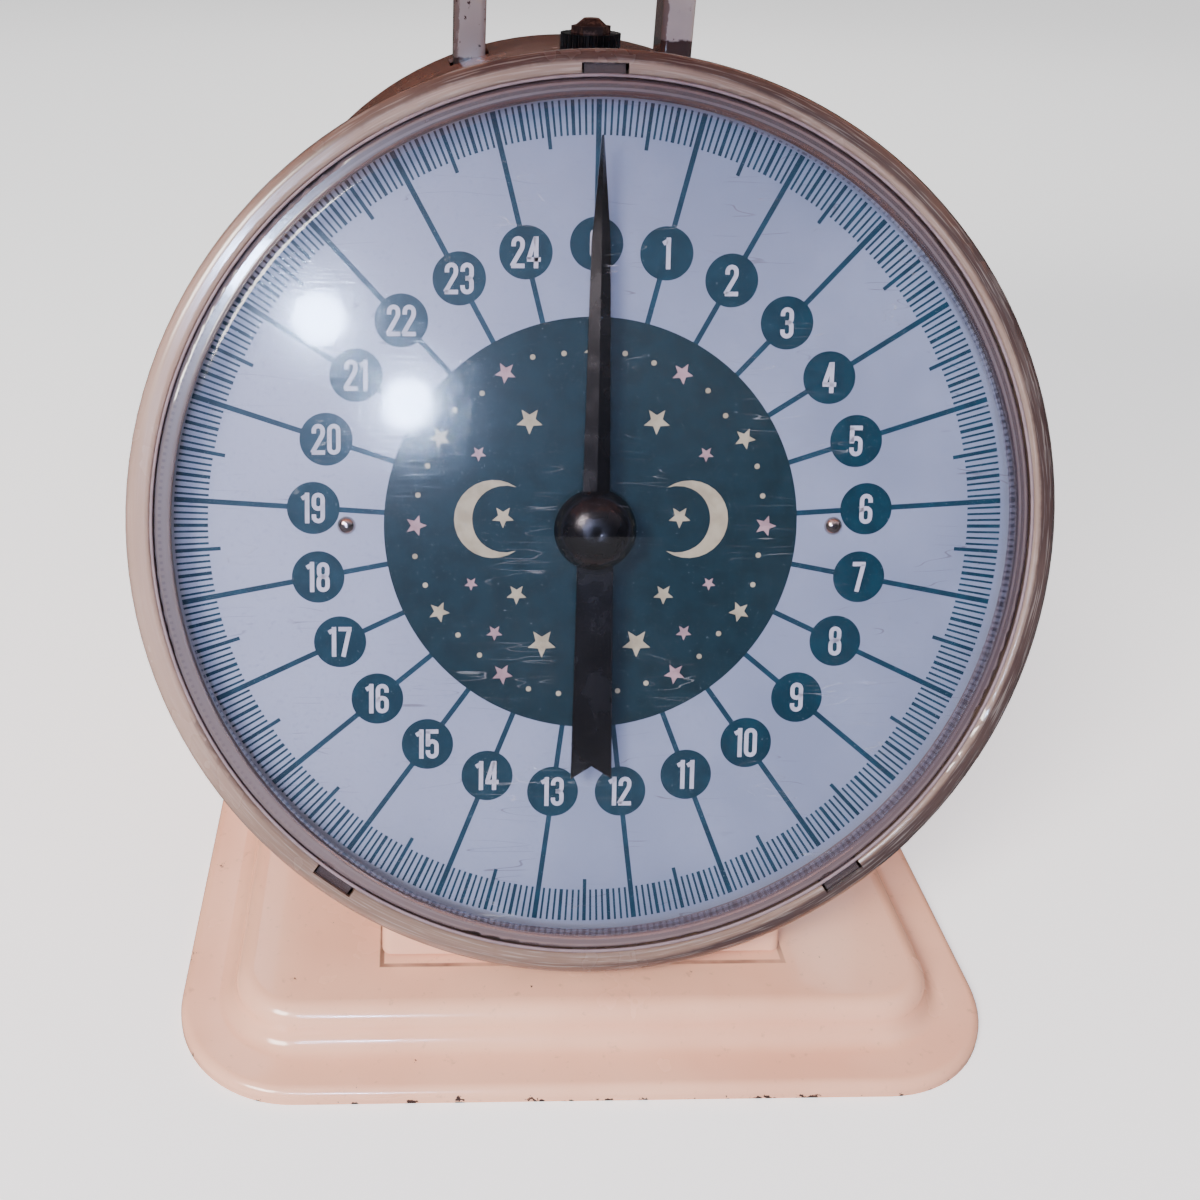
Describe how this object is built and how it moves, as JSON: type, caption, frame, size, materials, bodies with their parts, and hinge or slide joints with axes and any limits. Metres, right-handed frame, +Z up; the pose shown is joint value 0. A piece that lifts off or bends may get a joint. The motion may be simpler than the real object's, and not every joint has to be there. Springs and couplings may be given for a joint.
{
  "type": "baby scale",
  "caption": "Mechanical nursery spring scale: enamelled steel drum on a pressed base, tilted round dial with a turning pointer, and a weighing tray on two posts.",
  "frame": {"origin": "on the table, under the middle of the base", "axes": "+X to the right of the person reading the dial, +Y away from that person, +Z up"},
  "size_m": [0.566, 0.296, 0.3123],
  "materials": {
    "enamel": "glossy pink-beige baked enamel on pressed steel, chipped at the edges",
    "dial_enamel": "pale printed enamel dial with teal marks and figures",
    "clear_acrylic": "clear moulded cover with a faint purple tint and fine scratches",
    "black_plastic": "gloss black moulded",
    "nickel_steel": "plated domed rivets and screws",
    "zinc_steel": "zinc plated steel strip",
    "spring_steel": "oiled spring wire",
    "brass": "turned and stamped brass",
    "rusted_steel": "browned and lightly rusted steel",
    "rubber": "moulded rubber pads"
  },
  "bodies": {
    "stand": {"base_pan": "enamel", "housing_shell": "enamel", "front_pan": "enamel", "dial_plate": "dial_enamel", "dial_rivets": "nickel_steel", "lens": "clear_acrylic", "chassis_frame": "zinc_steel", "base_screws": "zinc_steel", "pan_screws": "zinc_steel", "movement_bracket": "zinc_steel", "bracket_screws": "zinc_steel", "front_bush": "brass", "rear_bush": "brass", "rack_guide": "zinc_steel", "lever_pins": "zinc_steel"},
    "carriage": {"carriage_plate": "zinc_steel", "carriage_rivets": "zinc_steel", "post_left": "enamel", "post_right": "enamel", "post_pins": "zinc_steel", "bearer_left": "enamel", "bearer_right": "enamel", "bearer_rivets": "nickel_steel", "strap_front": "enamel", "strap_rear": "enamel", "strap_rivets": "nickel_steel", "tray_pads": "rubber", "tray": "enamel", "tray_studs": "nickel_steel"},
    "upper_link": {"upper_lever": "zinc_steel"},
    "lower_link": {"lower_lever": "zinc_steel"},
    "rack_bar": {"rack": "brass", "rack_pin": "zinc_steel"},
    "indicator": {"pinion": "brass", "pointer_shaft": "zinc_steel", "pointer": "black_plastic"},
    "spring_hanger": {"spring_bridge": "zinc_steel", "spring_left": "spring_steel", "spring_right": "spring_steel"},
    "zero_adjuster": {"zero_knob": "black_plastic", "adjusting_screw": "zinc_steel", "knob_cap_nut": "rusted_steel"}
  },
  "joints": [
    {"name": "carriage_slide", "type": "slide", "parent": "stand", "child": "carriage", "axis": [0, 0, -1], "range_m": [0, 0.01485], "stiffness_N_per_m": 7490, "springref_m": -0.0032, "deforming": ["spring_left", "spring_right"]},
    {"name": "upper_lever_swing", "type": "hinge", "parent": "stand", "child": "upper_link", "pos_m": [0, 0.012, 0.1503], "axis": [-1, 0, 0], "range_deg": [0, 22.56]},
    {"name": "lower_lever_swing", "type": "hinge", "parent": "stand", "child": "lower_link", "pos_m": [0, 0.012, 0.042], "axis": [-1, 0, 0], "range_deg": [0, 22.56]},
    {"name": "rack_slide", "type": "slide", "parent": "stand", "child": "rack_bar", "axis": [0, -0.3256, -0.9455], "range_m": [0, 0.01572]},
    {"name": "pointer_spin", "type": "hinge", "parent": "stand", "child": "indicator", "pos_m": [0, -0.0402, 0.1119], "axis": [0, 0.9455, -0.3256], "range_deg": [0, 360.1]},
    {"name": "zero_knob_turn", "type": "hinge", "parent": "stand", "child": "zero_adjuster", "pos_m": [0, 0.012, 0.2073], "axis": [0, 0, 1], "range_deg": [-360, 360]},
    {"name": "bridge_slide", "type": "slide", "parent": "stand", "child": "spring_hanger", "axis": [0, 0, -1], "range_m": [-0.0008, 0.0008]}
  ],
  "couplings": [
    {"joint": "upper_lever_swing", "follows": "carriage_slide", "rad_per_m": 26.486},
    {"joint": "lower_lever_swing", "follows": "carriage_slide", "rad_per_m": 26.486},
    {"joint": "rack_slide", "follows": "carriage_slide", "ratio": 1.0576},
    {"joint": "pointer_spin", "follows": "carriage_slide", "rad_per_m": 423.05},
    {"joint": "zero_knob_turn", "follows": "bridge_slide", "rad_per_m": 7854}
  ]
}
